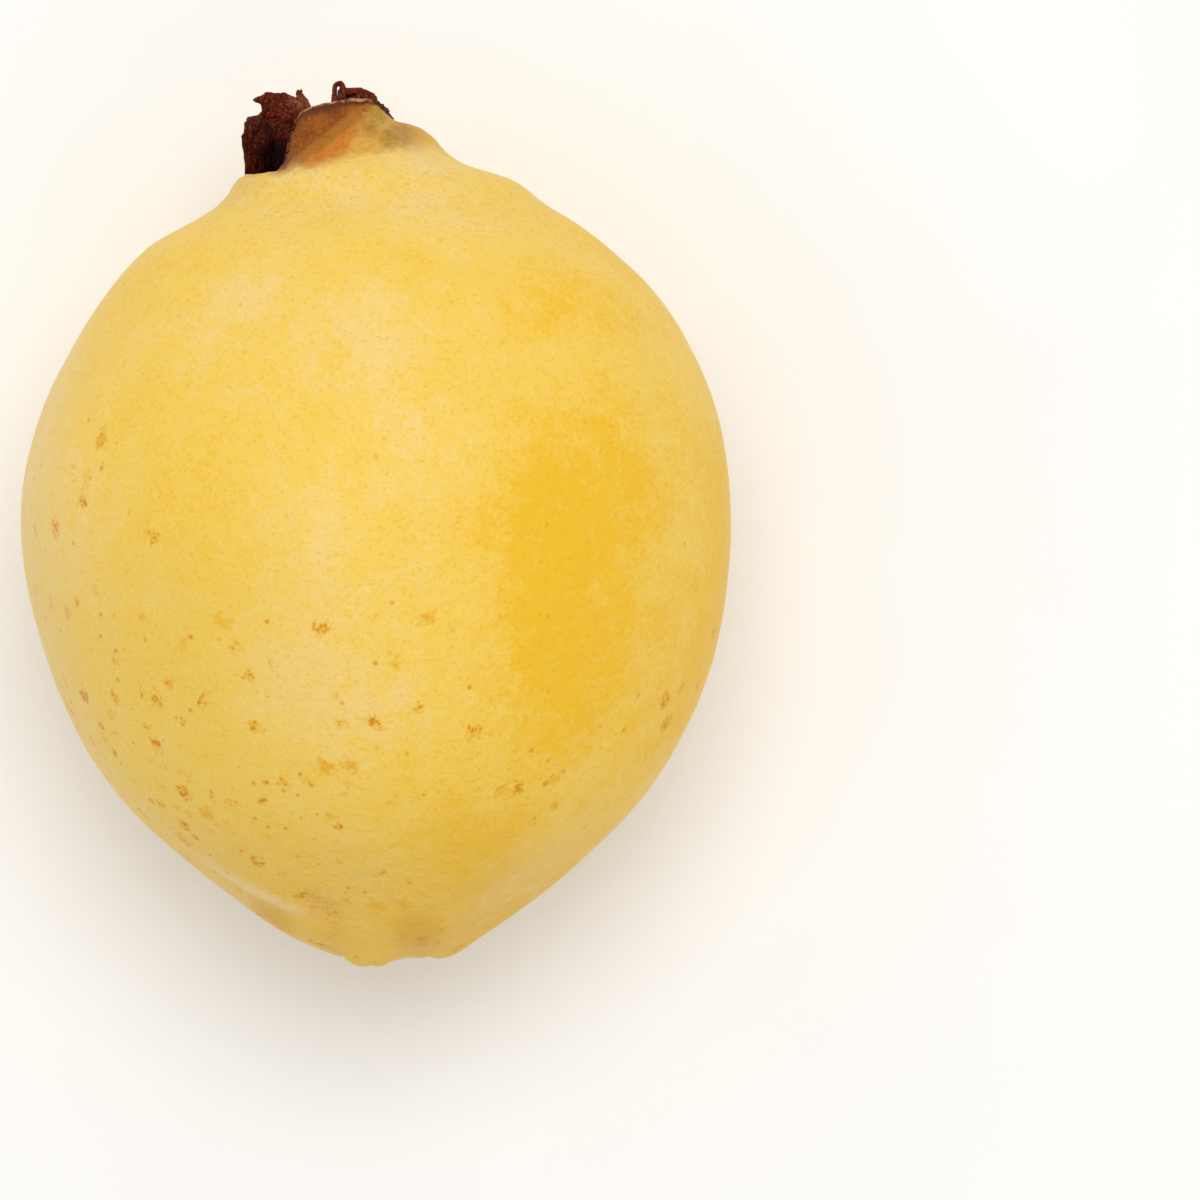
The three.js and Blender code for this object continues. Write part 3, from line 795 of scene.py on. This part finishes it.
        # brown above it, darkest at the rim
        brown = self.mix(
            self.ramp(self.vary(self.mottling, (grain, 0.4)), 0.24, 0.76),
            colour(114, 50, 0), colour(172, 98, 6))
        at_rim = self.ramp(self.vary(self.gap, (blotch, 2.0)), 1.6, 0.2, 0, 0.5)
        brown = self.mix(at_rim, brown, colour(98, 42, 0))
        above_ridge = self.mix(self.ramp(x, -0.6, -2.8), flesh, brown)
        flesh = self.mix(self.ramp(ridge, 0.3, 0.85), flesh, above_ridge)
        tone = self.mix(flap, tone, flesh)
        beside = self.product(self.above((3.0, 31.9), 2.1, 0.5, 0.5), self.ramp(z, 24, 28))
        return self.mix(beside, tone, colour(196, 148, 64)), flap

    def rim(self, tone):
        """The dry dark rim, and the dark foot of the flap's torn side."""
        edge = self.ramp(self.vary(self.gap, (self.grain, 0.7)), 0.75, 0.15)
        tone = self.mix(self.product(edge, self.standing), tone, colour(92, 42, 12))
        tone = self.mix(self.ramp(self.gap, 0.05, -0.1), tone, colour(96, 50, 22))
        foot = self.product(self.above((-7.8, 29.8), 1.0, 0.35, 0.9), self.ramp(self.z, 30, 32))
        foot = self.product(foot, self.ramp(self.blotch, 0.3, 0.5, 0.5, 1.0))
        return self.mix(foot, tone, colour(106, 42, 2))

    def stem_end(self, tone):
        """Golden brown patches, the pale ridge, and the crease with thin brown lines at its end."""
        for place, size, share in (((-9.0, -33.2), 3.2, 0.45), ((3.6, -34.0), 3.0, 0.4)):
            patch = self.product(self.above(place, size, 0.7, share), self.on_top)
            tone = self.mix(patch, tone, colour(207, 149, 43))
        uneven = self.ramp(self.blotch, 0.25, 0.6, 0.35, 1.0)
        pale = self.product(self.stored("pale_ridge"), uneven, 0.75)
        tone = self.mix(pale, tone, colour(240, 212, 164))
        crease = self.product(self.stored("crease"), self.ramp(self.grain, 0.4, 0.65, 0.1, 0.34))
        tone = self.mix(crease, tone, colour(214, 142, 4))
        lines = self.math("ABSOLUTE", self.math("SUBTRACT", self.blotch, 0.5))
        wrinkle = self.product(
            self.ramp(lines, 0.06, 0.0), self.above((-4.6, -31.2), 1.9, 0.5), self.on_top, 0.42)
        return self.mix(wrinkle, tone, colour(206, 118, 0))

    def stem_pit(self, tone):
        """Lighter ridges that run to the pit, and the dark scab on its floor."""
        away = self.vector("DISTANCE", self.place, PIT)
        ridges = self.product(self.ramp(away, 9, 4), self.ramp(self.mottling, 0.45, 0.7), 0.3)
        tone = self.mix(ridges, tone, colour(232, 196, 104))
        ragged = self.vary(away, (self.grain, 0.9), (self.blotch, 0.9))
        rough = self.ramp(self.grain, 0.35, 0.65)
        middle = self.mix(rough, colour(128, 92, 54), colour(176, 140, 92))
        edge = self.mix(rough, colour(70, 42, 22), colour(116, 78, 44))
        scab = self.mix(self.ramp(ragged, 0.5, 1.5), middle, edge)
        tone = self.mix(self.ramp(ragged, 4.2, 2.2, 0, 0.4), tone, colour(190, 136, 52))
        return self.mix(self.ramp(ragged, 2.35, 2.0), tone, scab)

    def relief(self):
        """Soft dimples, deeper near both ends."""
        ends = self.math("MAXIMUM", self.ramp(self.y, 20, 29), self.ramp(self.y, -20, -31))
        stretched = self.vector("MULTIPLY", self.place, (1.0, 1.25, 1.0))
        dimples = self.noise(1.0, 4.0, 0.6, stretched)
        return self.bump(self.product(dimples, self.ramp(ends, 0, 1, 0.16, 0.36)))


def skin_material():
    s = SkinShader()
    tone, scar = s.scars(s.ground())
    tone, flap = s.flap(s.collar(s.sheen_and_streaks(tone)))
    tone = s.stem_pit(s.stem_end(s.rim(tone)))
    dull = s.product(s.math("MAXIMUM", scar, flap), 0.15)
    rough = s.math("ADD", s.ramp(s.blotch, 0.3, 0.75, 0.42, 0.54), dull)
    return s.finish({
        "Base Color": tone, "Roughness": rough, "Normal": s.relief(), "IOR": 1.4,
        "Specular IOR Level": 0.35,
    })


def calyx_material():
    s = Shader("dry_calyx")
    fibres = s.noise(2.4, 4.0, 0.65, s.vector("MULTIPLY", s.place, (1.0, 0.3, 1.0)))
    blotch = s.noise(0.75, 4.0, 0.6)
    speckle = s.noise(4.0, 3.0, 0.7)
    tone = s.mix(s.ramp(blotch, 0.35, 0.65), colour(48, 7, 1), colour(102, 28, 7))
    # painted light: the blades are lighter towards their tops
    tone = s.mix(s.ramp(s.y, 32.6, 35.2, 0, 0.6), tone, colour(128, 48, 22))
    tone = s.mix(s.product(s.ramp(fibres, 0.46, 0.66), 0.7), tone, colour(150, 60, 28))
    tone = s.mix(s.product(s.ramp(speckle, 0.5, 0.62), 0.75), tone, colour(36, 9, 4))
    # painted glints: small pale specks
    tone = s.mix(s.ramp(s.noise(6.0, 2.0, 0.6), 0.6, 0.68, 0, 0.8), tone, colour(180, 112, 78))
    # painted shade: the cup darkens to its floor, most of all beside the flap
    tone = s.mix(s.ramp(s.y, 31.0, 27.6, 0, 0.7), tone, colour(24, 8, 4))
    painted_shade_beside_flap = s.product(s.near((-8.0, 30.2, 24.6), 1.3, 3.0), 0.92)
    tone = s.mix(painted_shade_beside_flap, tone, colour(12, 3, 2))
    # painted shade: dark spots along a fold down the far blade
    tone = s.mix(s.above((-9.4, 33.0), 1.3, 0.2, 0.55), tone, colour(34, 8, 4))
    tone = s.mix(s.above((-9.0, 31.4), 1.2, 0.2, 0.55), tone, colour(30, 7, 4))
    # painted highlight: the prong's tip is lighter
    tip = s.product(s.above((-6.5, 35.3), 1.2, 0.2), s.ramp(speckle, 0.4, 0.6), 0.6)
    tone = s.mix(tip, tone, colour(188, 126, 82))
    # the papery margin on the flap's rim is pale, and dark at its right end and low down
    from_axis = s.vector("SUBTRACT", s.place, (CALYX_X, 0, CALYX_Z))
    from_axis = s.vector("LENGTH", s.vector("MULTIPLY", from_axis, (1, 0, 1)))
    margin = s.product(s.ramp(from_axis, 5.45, 5.6), s.ramp(s.z, 29.0, 30.5))
    paper = s.mix(
        s.ramp(s.noise(1.6, 4.0, 0.7), 0.35, 0.62), colour(96, 46, 20), colour(216, 166, 120))
    right_end = s.mix(s.ramp(speckle, 0.4, 0.7), colour(54, 22, 10), colour(126, 72, 34))
    paper = s.mix(s.ramp(s.x, -0.9, 0.1), paper, right_end)
    low_down = s.mix(s.ramp(speckle, 0.45, 0.65), colour(62, 24, 10), colour(150, 92, 56))
    paper = s.mix(s.ramp(s.y, 34.2, 33.0), paper, low_down)
    tone = s.mix(margin, tone, paper)
    height = s.math("ADD", s.product(fibres, 0.3), s.product(speckle, 0.16))
    return s.finish({
        "Base Color": tone, "Roughness": s.ramp(blotch, 0.3, 0.7, 0.42, 0.66),
        "Normal": s.bump(height), "IOR": 1.45, "Specular IOR Level": 0.1,
    })


def floor_material():
    s = Shader("pale_floor")
    tone = s.mix(s.ramp(s.noise(0.02), 0.3, 0.7), colour(250, 250, 249), colour(253, 253, 252))
    return s.finish({"Base Color": tone, "Roughness": 0.9, "Specular IOR Level": 0.1})


# ---- The pieces ----
def dress(piece, node, material):
    piece.data.materials.clear()
    piece.data.materials.append(material)
    piece.data.polygons.foreach_set("use_smooth", [True] * len(piece.data.polygons))
    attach(piece, "root")
    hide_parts(node)


skin = skin_piece()
dress(skin, "fruit", skin_material())
dress(calyx_piece(flap_rim(skin)), "calyx", calyx_material())

# ---- Floor, light and camera ----
FLOOR_HALF = 1500  # millimetres; the rest here is in metres
KEY_PLACE, KEY_TARGET = (0.04, 0.3, 1.1), (0, 0, 0.02)
KEY_POWER, KEY_SIZE = 4.6, 0.6
ROOM_LIGHT = 0.71
CAMERA_PLACE, CAMERA_LENS, CAMERA_CLIP = (0.01866, -0.00639, 0.8616), 300, 0.01

corners = [(x * FLOOR_HALF, y * FLOOR_HALF, 0) for x, y in ((-1, -1), (1, -1), (1, 1), (-1, 1))]
floor = make_piece("floor", corners, [[0, 1, 2, 3]])
floor.data.materials.append(floor_material())

lamp = bpy.data.lights.new("key", "AREA")
lamp.shape = "DISK"
lamp.size = KEY_SIZE
lamp.energy = KEY_POWER
key = bpy.data.objects.new("key", lamp)
key.location = KEY_PLACE
key.rotation_euler = (Vector(KEY_TARGET) - Vector(KEY_PLACE)).to_track_quat("-Z", "Y").to_euler()
bpy.context.scene.collection.objects.link(key)

world = bpy.data.worlds.new("soft_room")
world.use_nodes = True
background = world.node_tree.nodes["Background"].inputs
background["Color"].default_value = (1, 1, 1, 1)
background["Strength"].default_value = ROOM_LIGHT
bpy.context.scene.world = world

camera = bpy.data.objects.new("camera", bpy.data.cameras.new("camera"))
camera.data.lens = CAMERA_LENS
camera.data.clip_start = CAMERA_CLIP
camera.location = CAMERA_PLACE
bpy.context.scene.collection.objects.link(camera)
bpy.context.scene.camera = camera

bpy.context.scene.view_settings.view_transform = "Standard"
